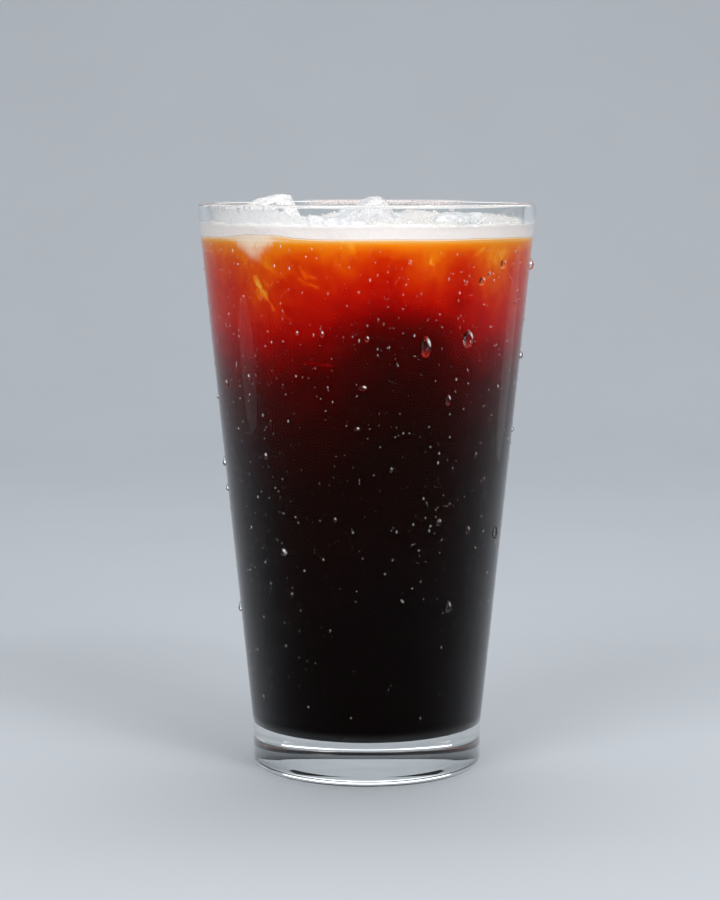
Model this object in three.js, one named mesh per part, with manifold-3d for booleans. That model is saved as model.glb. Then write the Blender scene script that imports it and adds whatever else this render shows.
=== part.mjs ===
// Iced black coffee in a tapered pint glass: a thick-based glass, the dark drink up to its level,
// a pale foam layer on top, and the ice blocks that break through the foam.
// Millimetres, +Z up, origin at the middle of the foot, where the glass stands.
import * as THREE from "three";
import { mergeVertices } from "three/addons/utils/BufferGeometryUtils.js";
import Module from "manifold-3d";

const wasm = await Module();
wasm.setup();

// Glass
const GLASS_HEIGHT = 150;
const RIM_RADIUS = 44.45;
const BASE_RADIUS = 30.4;
const BASE_BAND = 12; // height of the upright band round the thick base
const HEEL_ROUND = 3;
const LIP_THICKNESS = 3;
const FLOOR_HEIGHT = 11.4; // top of the thick base at its middle
const FLOOR_RADIUS = 26.4; // inner radius where the wall meets the floor's corner
const FLOOR_ROUND = 5;
const FOOT_RING_INNER = 20; // the foot is a flat ring round a shallow hollow
const FOOT_HOLLOW = 1;
const FOOT_SLOPE = 4; // width over which the hollow rises inside the ring
const FOOT_SLOPE_HEIGHT = 0.8;
const BAND_EASE = 1.5; // height over which the band passes into the taper
const BAND_FLARE = 0.05;

// Contents
const DRINK_LEVEL = 141;
const FOAM_LEVEL = 144.9;
const FOAM_RELIEF = 0.3; // height of the foam's broad swells above and below its level
const SWELL_X = 0.19; // radians a millimetre, as all the foam's waves
const SWELL_Y = 0.16;
const SWELL_SHIFT_X = 0.6;
const SWELL_SHIFT_Y = -0.4;
const RIPPLE_SHARE = 0.4; // height of the ripples against the swells
const RIPPLE_X = 0.37;
const RIPPLE_Y = -0.29;
const RIPPLE_SHIFT = 1.3;
const WALL_RISE = 0.35; // how far the foam climbs the glass
const WALL_RISE_SHARPNESS = 12; // higher keeps the climb closer to the wall
const GAP = 0.3; // clearance between neighbouring pieces

// Fineness
const ROUND_SEGMENTS = 64;
const FOAM_RINGS = 9;
const ICE_DIVISIONS = 5;
const LIP_STEPS = 8;
const CORNER_STEPS = 5;
const MERGE_DISTANCE = 1e-4;

// Ice blocks that break through the foam. Each has the place of its middle, the height of its
// highest point, its three sides and its turns about X, Y and Z in degrees.
const ICE_BLOCKS = [
  { name: "ice_peak", at: [0, -3], top: 151.8, sides: [18, 16, 17], turn: [9, -28, 6] },
  { name: "ice_corner", at: [-26.2, 12], top: 151.9, sides: [16, 17, 18], turn: [-8, -19, 24] },
  { name: "ice_left", at: [-25, -15], top: 147, sides: [17, 16, 18], turn: [18, 12, 32] },
  { name: "ice_front", at: [-8, -28], top: 147.2, sides: [18, 14, 17], turn: [-10, 8, -14] },
  { name: "ice_frosted", at: [23, -11], top: 147.4, sides: [15, 16, 17], turn: [24, 20, 40] },
  { name: "ice_right", at: [24.5, 12], top: 146.9, sides: [16, 17, 18], turn: [12, -10, -20] },
  { name: "ice_back", at: [1, 26], top: 147.8, sides: [20, 16, 17], turn: [14, 10, 10] },
];
const ICE_SQUARENESS = 7; // exponent of the rounded block: higher is squarer
const ICE_UNEVENNESS = 0.06; // share of a side by which melting leaves the faces uneven
const MELT_WAVES = new THREE.Vector3(3.1, 2.7, 2.3); // radians over half a side
const MELT_SHIFT = 1.7;
const PHASE_STEP = 1.9; // sets each block's waves apart from the last one's

// Colours
const GLASS_TINT = 0xdfeceb;
const COFFEE_BROWN = 0x2a0b04;
const FOAM_CREAM = 0xe9ddcc;
const ICE_WHITE = 0xe6eef0;

const glassMaterial = new THREE.MeshStandardMaterial({
  color: GLASS_TINT,
  roughness: 0.05,
  metalness: 0,
  transparent: true,
  opacity: 0.35,
});
const coffeeMaterial = new THREE.MeshStandardMaterial({
  color: COFFEE_BROWN,
  roughness: 0.25,
  metalness: 0,
});
const foamMaterial = new THREE.MeshStandardMaterial({
  color: FOAM_CREAM,
  roughness: 0.8,
  metalness: 0,
});
const iceMaterial = new THREE.MeshStandardMaterial({
  color: ICE_WHITE,
  roughness: 0.15,
  metalness: 0,
});

// Points of an arc in a profile, both ends included. Angles are in radians.
function arc(radius, height, size, from, to, steps) {
  return Array.from({ length: steps + 1 }, (_, step) => {
    const angle = from + ((to - from) * step) / steps;
    return new THREE.Vector2(radius + size * Math.cos(angle), height + size * Math.sin(angle));
  });
}

// A closed geometry as a solid that can be joined and cut.
function solidOf(geometry) {
  const bare = geometry.clone();
  bare.deleteAttribute("normal");
  bare.deleteAttribute("uv");
  const merged = mergeVertices(bare, MERGE_DISTANCE);
  const corners = merged.index.array;
  const kept = [];
  for (let i = 0; i < corners.length; i += 3) {
    const [a, b, c] = [corners[i], corners[i + 1], corners[i + 2]];
    if (a !== b && b !== c && c !== a) kept.push(a, b, c);
  }
  return new wasm.Manifold(
    new wasm.Mesh({
      numProp: 3,
      vertProperties: merged.attributes.position.array,
      triVerts: new Uint32Array(kept),
    }),
  );
}

// A solid as a named mesh.
function meshOf(name, solid, material) {
  const { vertProperties, triVerts, numProp } = solid.getMesh();
  if (numProp !== 3) throw new Error(name + " carries more than positions");
  const geometry = new THREE.BufferGeometry();
  geometry.setAttribute("position", new THREE.BufferAttribute(vertProperties, 3));
  geometry.setIndex(new THREE.BufferAttribute(triVerts, 1));
  geometry.computeVertexNormals();
  const mesh = new THREE.Mesh(geometry, material);
  mesh.name = name;
  return mesh;
}

// A profile of radius and height turned round the upright axis.
function turned(profile) {
  const geometry = new THREE.LatheGeometry(profile, ROUND_SEGMENTS);
  geometry.rotateX(Math.PI / 2);
  return geometry;
}

// The wall: where its two faces run, from the lip's centre down.
const LIP_HALF = LIP_THICKNESS / 2;
const LIP_CENTRE = new THREE.Vector2(RIM_RADIUS - LIP_HALF, GLASS_HEIGHT - LIP_HALF);
const TAPER = Math.atan((RIM_RADIUS - BASE_RADIUS) / (LIP_CENTRE.y - BASE_BAND));
const INNER_TOP = new THREE.Vector2(
  LIP_CENTRE.x - LIP_HALF * Math.cos(TAPER),
  LIP_CENTRE.y + LIP_HALF * Math.sin(TAPER),
);
const INNER_FOOT = new THREE.Vector2(FLOOR_RADIUS, FLOOR_HEIGHT + FLOOR_ROUND);

// Radius of the wall's inner face at a height above the floor's corner.
function innerRadius(height) {
  const share = (height - INNER_FOOT.y) / (INNER_TOP.y - INNER_FOOT.y);
  return INNER_FOOT.x + share * (INNER_TOP.x - INNER_FOOT.x);
}

function glassSolid() {
  const profile = [
    new THREE.Vector2(0, FOOT_HOLLOW),
    new THREE.Vector2(FOOT_RING_INNER - FOOT_SLOPE, FOOT_SLOPE_HEIGHT),
    new THREE.Vector2(FOOT_RING_INNER, 0),
    ...arc(BASE_RADIUS - HEEL_ROUND, HEEL_ROUND, HEEL_ROUND, -Math.PI / 2, 0, CORNER_STEPS),
    new THREE.Vector2(BASE_RADIUS, BASE_BAND - BAND_EASE),
    new THREE.Vector2(BASE_RADIUS + BAND_FLARE, BASE_BAND),
    ...arc(LIP_CENTRE.x, LIP_CENTRE.y, LIP_HALF, -TAPER, Math.PI - TAPER, LIP_STEPS),
    ...arc(FLOOR_RADIUS - FLOOR_ROUND, INNER_FOOT.y, FLOOR_ROUND, 0, -Math.PI / 2, CORNER_STEPS),
    new THREE.Vector2(0, FLOOR_HEIGHT),
  ];
  return solidOf(turned(profile));
}

// The drink before the ice is cut out of it.
function drinkSolid() {
  const corner = FLOOR_ROUND - GAP;
  const profile = [
    new THREE.Vector2(0, FLOOR_HEIGHT + GAP),
    ...arc(FLOOR_RADIUS - FLOOR_ROUND, INNER_FOOT.y, corner, -Math.PI / 2, 0, CORNER_STEPS),
    new THREE.Vector2(innerRadius(DRINK_LEVEL) - GAP, DRINK_LEVEL),
    new THREE.Vector2(0, DRINK_LEVEL),
  ];
  return solidOf(turned(profile));
}

// Height of the foam's uneven top, which swells gently and climbs the wall a little.
function foamTop(x, y) {
  const swell = Math.sin(x * SWELL_X + SWELL_SHIFT_X) * Math.cos(y * SWELL_Y + SWELL_SHIFT_Y);
  const ripple = RIPPLE_SHARE * Math.sin(x * RIPPLE_X + y * RIPPLE_Y + RIPPLE_SHIFT);
  const edge = Math.hypot(x, y) / innerRadius(FOAM_LEVEL);
  return FOAM_LEVEL + FOAM_RELIEF * (swell + ripple) + WALL_RISE * edge ** WALL_RISE_SHARPNESS;
}

// The foam layer before the ice is cut out of it.
function foamSolid() {
  const bottom = DRINK_LEVEL + GAP;
  const topRadius = innerRadius(FOAM_LEVEL) - GAP;
  const rings = Array.from(
    { length: FOAM_RINGS + 1 },
    (_, ring) => new THREE.Vector2(topRadius * (1 - ring / FOAM_RINGS), FOAM_LEVEL),
  );
  const profile = [
    new THREE.Vector2(0, bottom),
    new THREE.Vector2(innerRadius(bottom) - GAP, bottom),
    ...rings,
  ];
  const geometry = turned(profile);
  const position = geometry.attributes.position;
  for (let i = 0; i < position.count; i += 1) {
    const [x, y, z] = [position.getX(i), position.getY(i), position.getZ(i)];
    if (z > (bottom + FOAM_LEVEL) / 2) position.setZ(i, foamTop(x, y));
  }
  return solidOf(geometry);
}

// How far a melted face stands in or out at a direction from the block's middle.
function melt(direction, phase) {
  const { x, y, z } = direction.clone().multiply(MELT_WAVES);
  const waves = Math.sin(x + phase) + Math.sin(y + MELT_SHIFT * phase) * Math.cos(z + phase);
  return 1 + (ICE_UNEVENNESS * waves) / 2;
}

// One rounded block of ice, grown on every side by the given clearance.
function iceSolid(block, index, clearance) {
  const geometry = new THREE.BoxGeometry(
    2,
    2,
    2,
    ICE_DIVISIONS,
    ICE_DIVISIONS,
    ICE_DIVISIONS,
  );
  const position = geometry.attributes.position;
  const point = new THREE.Vector3();
  const half = new THREE.Vector3(...block.sides).multiplyScalar(0.5);
  for (let i = 0; i < position.count; i += 1) {
    point.fromBufferAttribute(position, i);
    const spread =
      Math.abs(point.x) ** ICE_SQUARENESS +
      Math.abs(point.y) ** ICE_SQUARENESS +
      Math.abs(point.z) ** ICE_SQUARENESS;
    point.multiplyScalar(spread ** (-1 / ICE_SQUARENESS));
    point.multiplyScalar(melt(point, index * PHASE_STEP));
    point.multiply(half);
    position.setXYZ(i, point.x, point.y, point.z);
  }
  const turn = block.turn.map(THREE.MathUtils.degToRad);
  geometry.applyMatrix4(
    new THREE.Matrix4().makeRotationFromEuler(new THREE.Euler(...turn)),
  );
  geometry.computeBoundingBox();
  const middle = block.top - geometry.boundingBox.max.z;
  const size = geometry.boundingBox.getSize(new THREE.Vector3());
  geometry.scale(
    1 + (2 * clearance) / size.x,
    1 + (2 * clearance) / size.y,
    1 + (2 * clearance) / size.z,
  );
  geometry.translate(block.at[0], block.at[1], middle);
  return solidOf(geometry);
}

// The largest body of a solid, without the loose scraps that a cut can leave.
function largestBody(solid) {
  const bodies = solid.decompose();
  return bodies.reduce((best, body) => (body.volume() > best.volume() ? body : best));
}

// A layer with room left for every ice block that passes through it.
function cutRoundIce(layer) {
  const room = ICE_BLOCKS.map((block, index) => iceSolid(block, index, GAP));
  return largestBody(room.reduce((left, hole) => left.subtract(hole), layer));
}

const drink = new THREE.Group();
drink.add(meshOf("glass", glassSolid(), glassMaterial));
drink.add(meshOf("coffee", cutRoundIce(drinkSolid()), coffeeMaterial));
drink.add(meshOf("foam", cutRoundIce(foamSolid()), foamMaterial));
ICE_BLOCKS.forEach((block, index) => {
  drink.add(meshOf(block.name, iceSolid(block, index, 0), iceMaterial));
});

export default drink;
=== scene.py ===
"""Iced black coffee in a pint glass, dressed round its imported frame.

Laid out as an add-on: sizes and colours are properties, each piece has an operator, and main() calls
them in order. Everything is in metres, in the frame's own axes.
"""
import functools
import math
import random

import bmesh
import bpy
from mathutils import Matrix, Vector, noise


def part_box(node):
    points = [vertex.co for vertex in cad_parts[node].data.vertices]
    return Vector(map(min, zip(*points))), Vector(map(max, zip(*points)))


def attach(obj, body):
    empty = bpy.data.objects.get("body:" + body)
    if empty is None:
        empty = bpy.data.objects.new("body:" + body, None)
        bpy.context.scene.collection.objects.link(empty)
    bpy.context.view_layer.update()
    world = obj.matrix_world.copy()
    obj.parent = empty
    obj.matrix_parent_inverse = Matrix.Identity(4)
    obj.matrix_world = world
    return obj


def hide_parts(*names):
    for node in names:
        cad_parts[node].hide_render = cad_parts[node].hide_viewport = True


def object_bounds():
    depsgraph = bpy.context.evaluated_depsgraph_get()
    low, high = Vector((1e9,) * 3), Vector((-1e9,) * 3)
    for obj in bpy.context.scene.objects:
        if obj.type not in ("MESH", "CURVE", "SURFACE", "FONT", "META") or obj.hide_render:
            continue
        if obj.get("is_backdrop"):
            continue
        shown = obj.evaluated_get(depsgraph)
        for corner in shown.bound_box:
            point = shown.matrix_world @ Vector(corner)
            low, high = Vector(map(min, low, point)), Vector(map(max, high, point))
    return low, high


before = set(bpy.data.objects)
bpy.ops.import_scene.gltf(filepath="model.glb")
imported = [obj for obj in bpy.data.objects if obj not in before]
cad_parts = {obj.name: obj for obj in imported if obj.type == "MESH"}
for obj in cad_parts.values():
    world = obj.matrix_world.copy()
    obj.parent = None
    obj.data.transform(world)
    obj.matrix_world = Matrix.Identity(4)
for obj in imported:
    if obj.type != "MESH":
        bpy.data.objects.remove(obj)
CAD_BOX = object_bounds()

bl_info = {
    "name": "Iced coffee in a pint glass",
    "version": (1, 0, 0),
    "blender": (4, 5, 0),
    "location": "View3D > Sidebar > Iced coffee",
    "description": "Glass, drink, foam, ice and condensation of an iced black coffee",
    "category": "Object",
}

MM = 0.001
TAU = 2 * math.pi
QUARTER = math.pi / 2
BODY = "root"
ICE_NODES = sorted(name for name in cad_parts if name.startswith("ice_"))

# The photograph's frame and the camera that fits the glass in it.
PHOTO_WIDTH = 720
PHOTO_HEIGHT = 900
SENSOR = 36.0
CAMERA_LENS = 106.33
CAMERA_BACK = 0.7011
CAMERA_HEIGHT = 0.1613
CAMERA_PITCH = math.radians(6.245)
CAMERA_YAW = math.radians(-0.149)


def srgb(red, green, blue):
    """A colour read off a picture, 0 to 255, as a linear one."""
    def linear(part):
        part /= 255
        return part / 12.92 if part <= 0.04045 else ((part + 0.055) / 1.055) ** 2.4

    return (linear(red), linear(green), linear(blue))


# Sizes and colours that a user would change.

def as_length(name, description, default):
    return bpy.props.FloatProperty(name=name, description=description, default=default, unit="LENGTH")


def as_count(name, description, default):
    return bpy.props.IntProperty(name=name, description=description, default=default, min=0)


def as_colour(name, description, default):
    return bpy.props.FloatVectorProperty(
        name=name, description=description, default=default, subtype="COLOR"
    )


class DrinkSizes(bpy.types.PropertyGroup):
    rim_radius: as_length("Rim radius", "Outer radius of the glass at its lip", 44.45 * MM)
    base_radius: as_length("Base radius", "Outer radius of the upright band round the base", 30.4 * MM)
    base_band: as_length("Base band", "Height of the upright band round the base", 12 * MM)
    lip_thickness: as_length("Lip thickness", "Thickness of the wall at its rounded lip", 3 * MM)
    lip_rise: as_length("Lip rounding", "Height over which the lip is rounded", 0.9 * MM)
    heel_round: as_length("Heel radius", "Rounding between the side of the base and the foot", 3 * MM)
    floor_height: as_length(
        "Floor height", "Thickness of the clear base at its middle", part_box("coffee")[0].z - 0.3 * MM
    )
    floor_radius: as_length(
        "Floor radius", "Inner radius where the wall meets the floor's rounded corner", 26.4 * MM
    )
    floor_round: as_length(
        "Floor corner", "Rounding between the floor and the wall inside the glass", 5 * MM
    )
    foot_inner: as_length("Foot ring", "Inner radius of the flat ring that the glass stands on", 20 * MM)
    foot_hollow: as_length("Foot hollow", "Depth of the hollow inside the foot ring", 1 * MM)
    foam_level: as_length("Foam level", "Height of the foam's top before its swells", 144.9 * MM)
    reach: as_length(
        "Reach into the wall", "How far the contents enter the wall, so that no air gap shows", 0.35 * MM
    )
    bubbles: as_count("Bubbles", "Number of small bubbles on the foam", 700)
    small_drops: as_count("Small drops", "Number of fine condensation drops on the outside", 3000)


class DrinkColours(bpy.types.PropertyGroup):
    glass: as_colour("Glass", "Tint of the clear glass", (0.965, 0.985, 0.98))
    foam: as_colour("Foam", "The pale foam", srgb(240, 236, 233))
    ice: as_colour("Ice", "The cloudy part of the ice", srgb(247, 246, 247))
    floor: as_colour("Floor", "The pale studio floor and backdrop", srgb(208, 213, 219))


def sizes():
    return bpy.context.scene.drink_sizes


def colours():
    return bpy.context.scene.drink_colours


# Shader maths as expressions.

def operator(operation, reflected=False):
    """A method that adds a maths node, with its own value second when it is reflected."""
    def apply(self, other):
        values = (other, self) if reflected else (self, other)
        return self.graph.node("ShaderNodeMath", {"operation": operation}, values)

    return apply


class Value:
    """A socket's output that can be written in an expression of numbers."""

    __add__ = operator("ADD")
    __sub__ = operator("SUBTRACT")
    __mul__ = operator("MULTIPLY")
    __truediv__ = operator("DIVIDE")
    __pow__ = operator("POWER")
    __radd__ = operator("ADD", reflected=True)
    __rsub__ = operator("SUBTRACT", reflected=True)
    __rmul__ = operator("MULTIPLY", reflected=True)
    __rtruediv__ = operator("DIVIDE", reflected=True)
    least = operator("MINIMUM")
    most = operator("MAXIMUM")

    def __init__(self, graph, socket):
        self.graph = graph
        self.socket = socket

    def rise(self, low, high):
        """0 below low, 1 above high, smooth between. With high under low it falls instead."""
        settings = {"interpolation_type": "SMOOTHSTEP"}
        if low < high:
            return self.graph.node("ShaderNodeMapRange", settings, (self, low, high, 0.0, 1.0))
        return self.graph.node("ShaderNodeMapRange", settings, (self, high, low, 1.0, 0.0))


class Graph:
    """A material and the one way of adding a node to it."""

    def __init__(self, name):
        self.material = bpy.data.materials.new(name)
        self.material.use_nodes = True
        self.tree = self.material.node_tree
        self.tree.nodes.clear()

    def node(self, kind, settings=None, sockets=(), output=0):
        made = self.tree.nodes.new(kind)
        for key, value in (settings or {}).items():
            if key == "stops":
                self.stops(made.color_ramp, value)
            else:
                setattr(made, key, value)
        named = sockets.items() if isinstance(sockets, dict) else enumerate(sockets)
        for key, value in named:
            self.feed(made.inputs[key], value)
        return Value(self, made.outputs[output]) if made.outputs else None

    def feed(self, socket, value):
        if isinstance(value, Value):
            self.tree.links.new(value.socket, socket)
        elif socket.type == "RGBA" and len(value) == 3:
            socket.default_value = (*value, 1.0)
        else:
            socket.default_value = value

    @staticmethod
    def stops(ramp, stops):
        while len(ramp.elements) < len(stops):
            ramp.elements.new(0.5)
        for element, (place, colour) in zip(ramp.elements, stops):
            element.position = place
            element.color = (*colour, 1.0)

    def place(self):
        """Where a point lies in the frame, as x, y and z."""
        spot = self.node("ShaderNodeTexCoord", output="Object")
        split = self.node("ShaderNodeSeparateXYZ", sockets=(spot,))
        outputs = split.socket.node.outputs
        return spot, *(Value(self, outputs[axis]) for axis in range(3))

    def blend(self, share, first, second):
        sockets = {0: share, 6: first, 7: second}
        return self.node("ShaderNodeMix", {"data_type": "RGBA"}, sockets, output=2)

    def ramp(self, value, *stops):
        return self.node("ShaderNodeValToRGB", {"stops": stops}, (value,))

    def cloud(self, spot, scale, detail, roughness=0.55, distortion=0.0):
        sockets = {"Vector": spot, "Scale": scale, "Detail": detail}
        sockets |= {"Roughness": roughness, "Distortion": distortion}
        return self.node("ShaderNodeTexNoise", None, sockets)

    def cells(self, spot, scale):
        return self.node("ShaderNodeTexVoronoi", None, {"Vector": spot, "Scale": scale})

    def drawn_up(self, spot, factor):
        """The spot with its height multiplied, so that noise is drawn out upwards by a factor under 1."""
        settings = {"operation": "MULTIPLY"}
        return self.node("ShaderNodeVectorMath", settings, (spot, (1.0, 1.0, factor)))

    def kept(self, label):
        """The number that a mesh keeps for each of its points."""
        return self.node("ShaderNodeAttribute", {"attribute_name": label}, output="Fac")

    def bump(self, height, distance, strength):
        sockets = {"Height": height, "Distance": distance, "Strength": strength}
        return self.node("ShaderNodeBump", None, sockets)

    def principled(self, **sockets):
        named = {key.replace("_", " "): value for key, value in sockets.items()}
        return self.node("ShaderNodeBsdfPrincipled", None, named)

    def mix(self, share, first, second):
        """The first shader where the share is 0 and the second where it is 1."""
        return self.node("ShaderNodeMixShader", None, (share, first, second))

    def finish(self, shader, through=None):
        """The material. Where through gives a tint, light from the lamps passes straight through it."""
        if through is not None:
            ray = self.node("ShaderNodeLightPath", output="Is Shadow Ray")
            clear = self.node("ShaderNodeBsdfTransparent", None, {"Color": through})
            shader = self.mix(ray, shader, clear)
        self.node("ShaderNodeOutputMaterial", None, {"Surface": shader})
        return self.material

    def surface(self, through=None, **sockets):
        """The material with a principled shader alone."""
        return self.finish(self.principled(**sockets), through)


# Meshes.

def placed(name, data):
    """A new object of the data, in the scene."""
    made = bpy.data.objects.new(name, data)
    bpy.context.scene.collection.objects.link(made)
    return made


def add_piece(name, points, faces, material, replaced=()):
    """A smooth mesh piece on the part's one body."""
    mesh = bpy.data.meshes.new(name)
    mesh.from_pydata([tuple(p) for p in points], [], faces)
    mesh.validate()
    mesh.update()
    piece = placed(name, mesh)
    dress(piece, material, replaced)
    return piece


def dress(piece, material, replaced):
    """Gives the piece its look, its body and the nodes that it stands for."""
    piece.data.materials.clear()
    piece.data.materials.append(material)
    piece.data.shade_smooth()
    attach(piece, BODY)
    if replaced:
        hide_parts(*replaced)


def arc(radius, height, size, start, end, steps):
    """Points of an arc in a profile, both ends included."""
    for step in range(steps + 1):
        angle = start + (end - start) * step / steps
        yield radius + size * math.cos(angle), height + size * math.sin(angle)


def even(profile, step):
    """The profile with its long stretches divided, and a point close to each of their ends.

    Those points keep the smooth shading of a rounded corner from spreading over the straight wall.
    """
    close = 0.12 * MM
    long_enough = 8 * close
    fine = []
    for (r0, z0), (r1, z1) in zip(profile, profile[1:]):
        length = math.hypot(r1 - r0, z1 - z0)
        count = max(1, math.ceil(length / step))
        shares = [i / count for i in range(count)]
        if length > long_enough:
            shares = sorted([*shares, close / length, 1 - close / length])
        fine += [(r0 + (r1 - r0) * share, z0 + (z1 - z0) * share) for share in shares]
    return fine + [profile[-1]]


def ring_angles(sides):
    """The angles of points spread evenly round a ring."""
    return [TAU * side / sides for side in range(sides)]


def ring_faces(first, rings, sides, downward=False):
    """Faces over rings of points, from the point numbered first to the one that follows the rings.

    They face outwards when the rings run upwards, or when downward is set and the rings run down.
    """
    last = first + 1 + rings * sides
    faces = []
    for side in range(sides):
        after = (side + 1) % sides
        strip = [(first, first + 1 + after, first + 1 + side)]
        for low in range(first + 1, last - sides, sides):
            high = low + sides
            strip.append((low + side, low + after, high + after, high + side))
        strip.append((last - sides + side, last - sides + after, last))
        faces += [(face[0], *reversed(face[1:])) if downward else face for face in strip]
    return faces


def ring_points(rows, sides):
    """A ring of points for each row's radius and height."""
    return [
        (radius * math.cos(angle), radius * math.sin(angle), height)
        for radius, height in rows
        for angle in ring_angles(sides)
    ]


def turned(profile, segments):
    """Points and faces of a profile, from axis to axis, turned round the upright axis."""
    (_, start), *inner, (_, end) = profile
    points = [(0.0, 0.0, start), *ring_points(inner, segments), (0.0, 0.0, end)]
    return points, ring_faces(0, len(inner), segments)


def at_turn(turn, radius, height):
    """The point at a turn from the front, positive to the right, and a distance from the axis."""
    return Vector((radius * math.sin(turn), -radius * math.cos(turn), height))


class Wall:
    """The glass's two faces: its lip, its taper and where they run."""

    def __init__(self):
        size = sizes()
        self.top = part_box("glass")[1].z
        self.lip_half = size.lip_thickness / 2
        self.lip_radius = size.rim_radius - self.lip_half
        self.lip_rise = size.lip_rise
        self.lip_height = self.top - self.lip_rise
        rise = self.lip_height - size.base_band
        self.taper = math.atan((size.rim_radius - size.base_radius) / rise)
        self.foot_height = size.floor_height + size.floor_round

    def outer(self, height):
        """Outer radius at a height."""
        size = sizes()
        if height < size.base_band:
            return size.base_radius
        share = (height - size.base_band) / (self.lip_height - size.base_band)
        return size.base_radius + share * (size.rim_radius - size.base_radius)

    def inner(self, height):
        """Inner radius at a height above the floor's corner."""
        low = sizes().floor_radius
        high = self.lip_radius - self.lip_half * math.cos(self.taper)
        share = (height - self.foot_height) / (self.lip_height - self.foot_height)
        return low + share * (high - low)

    def lip(self, angle, out=0.0):
        """A point of the lip's section, fuller at its two corners than a half circle."""
        fullness = 0.7
        parts = (math.cos(angle), math.sin(angle))
        across, up = (math.copysign(abs(part) ** fullness, part) for part in parts)
        radius = self.lip_radius + (self.lip_half + out) * across
        return radius, self.lip_height + (self.lip_rise + out) * up

    def on_outside(self, turn, height, out):
        """A point that stands out from the outside of the wall, square to it."""
        radius = self.outer(height) + out * math.cos(self.taper)
        return at_turn(turn, radius, height - out * math.sin(self.taper))

    def on_inside(self, turn, height, out):
        """A point that stands out from the inside of the wall, towards the axis."""
        return at_turn(turn, self.inner(height) - out, height)


def camera_axes():
    ahead = Vector((
        math.sin(CAMERA_YAW) * math.cos(CAMERA_PITCH),
        math.cos(CAMERA_YAW) * math.cos(CAMERA_PITCH),
        -math.sin(CAMERA_PITCH),
    ))
    right = ahead.cross(Vector((0, 0, 1))).normalized()
    return ahead, right, right.cross(ahead)


def ray_through(column, row):
    """The camera's ray through a pixel of the photograph."""
    ahead, right, up = camera_axes()
    focal = CAMERA_LENS / SENSOR * PHOTO_HEIGHT
    return ahead + right * (column - PHOTO_WIDTH / 2) / focal + up * (PHOTO_HEIGHT / 2 - row) / focal


def height_of_outline(row):
    """The height that the photograph shows in a row at the glass's outline, which lies beside its axis."""
    ray = ray_through(PHOTO_WIDTH / 2, row)
    return CAMERA_HEIGHT + CAMERA_BACK * ray.z / ray.y


def seen_on_wall(wall, column, row):
    """The turn and height of the point of the outer wall that the photograph shows at a pixel."""
    ray = ray_through(column, row)
    eye = Vector((0, -CAMERA_BACK, CAMERA_HEIGHT))
    lean = math.tan(wall.taper)
    start = wall.outer(sizes().base_band) - lean * sizes().base_band + lean * eye.z
    slope = lean * ray.z
    a = ray.x ** 2 + ray.y ** 2 - slope ** 2
    b = 2 * (eye.x * ray.x + eye.y * ray.y - start * slope)
    c = eye.x ** 2 + eye.y ** 2 - start ** 2
    reach = max(b * b - 4 * a * c, 0.0)
    hit = eye + ray * ((-b - math.sqrt(reach)) / (2 * a))
    return math.atan2(hit.x, -hit.y), hit.z


# Glass.

def glass_material():
    graph = Graph("clear_glass")
    spot, _, _, z = graph.place()
    waves = graph.cloud(spot, 45.0, 1.0)
    clear_of_drink = z.rise(142 * MM, 145 * MM).most(z.rise(15 * MM, 12 * MM))
    return graph.surface(
        through=(0.93, 0.95, 0.95),
        Base_Color=tuple(colours().glass),
        Roughness=0.015,
        IOR=1.46,
        Specular_Tint=(0.1, 0.1, 0.1),
        Coat_Weight=clear_of_drink,
        Coat_Roughness=0.02,
        Coat_IOR=1.5,
        Transmission_Weight=1.0,
        Normal=graph.bump(waves, 0.05 * MM, 0.35),
    )


class DRINK_OT_glass(bpy.types.Operator):
    """Turns the clear glass with its lip, taper, thick base and foot ring"""

    bl_idname = "drink.glass"
    bl_label = "Glass"

    def execute(self, context):
        size = sizes()
        wall = Wall()
        heel, corner = size.heel_round, size.floor_round
        foot_slope = 4 * MM
        ease = 0.4 * MM
        segments, corner_steps, lip_steps = 160, 10, 24
        profile = [
            (0.0, size.foot_hollow),
            (size.foot_inner - foot_slope, size.foot_hollow * 0.8),
            *arc(size.foot_inner - ease, ease, ease, -QUARTER * 1.2, -QUARTER, 2),
            *arc(size.base_radius - heel, heel, heel, -QUARTER, 0, corner_steps),
            (size.base_radius, size.base_band - 1.6 * MM),
            (size.base_radius + 0.03 * MM, size.base_band - 0.6 * MM),
            (size.base_radius + 0.12 * MM, size.base_band + 0.7 * MM),
            *(wall.lip(math.pi * step / lip_steps) for step in range(lip_steps + 1)),
            *arc(size.floor_radius - corner, wall.foot_height, corner, 0, -QUARTER, corner_steps),
            (0.0, size.floor_height),
        ]
        points, faces = turned(even(profile, 6 * MM), segments)
        add_piece("glass_body", points, faces, glass_material(), ["glass"])
        return {"FINISHED"}


# Drink.

def near_stroke(x, z, start, end, width):
    """1 along a line on the front of the drink, given by its ends as x and z, and 0 past its width."""
    (x0, z0), (x1, z1) = start, end
    run = Vector((x1 - x0, z1 - z0))
    along = ((x - x0) * run.x + (z - z0) * run.y) / run.length_squared
    along = along.most(0.0).least(1.0)
    off_x = x - x0 - along * run.x
    off_z = z - z0 - along * run.y
    return (off_x * off_x + off_z * off_z).rise(width * width, 0.0)


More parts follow.
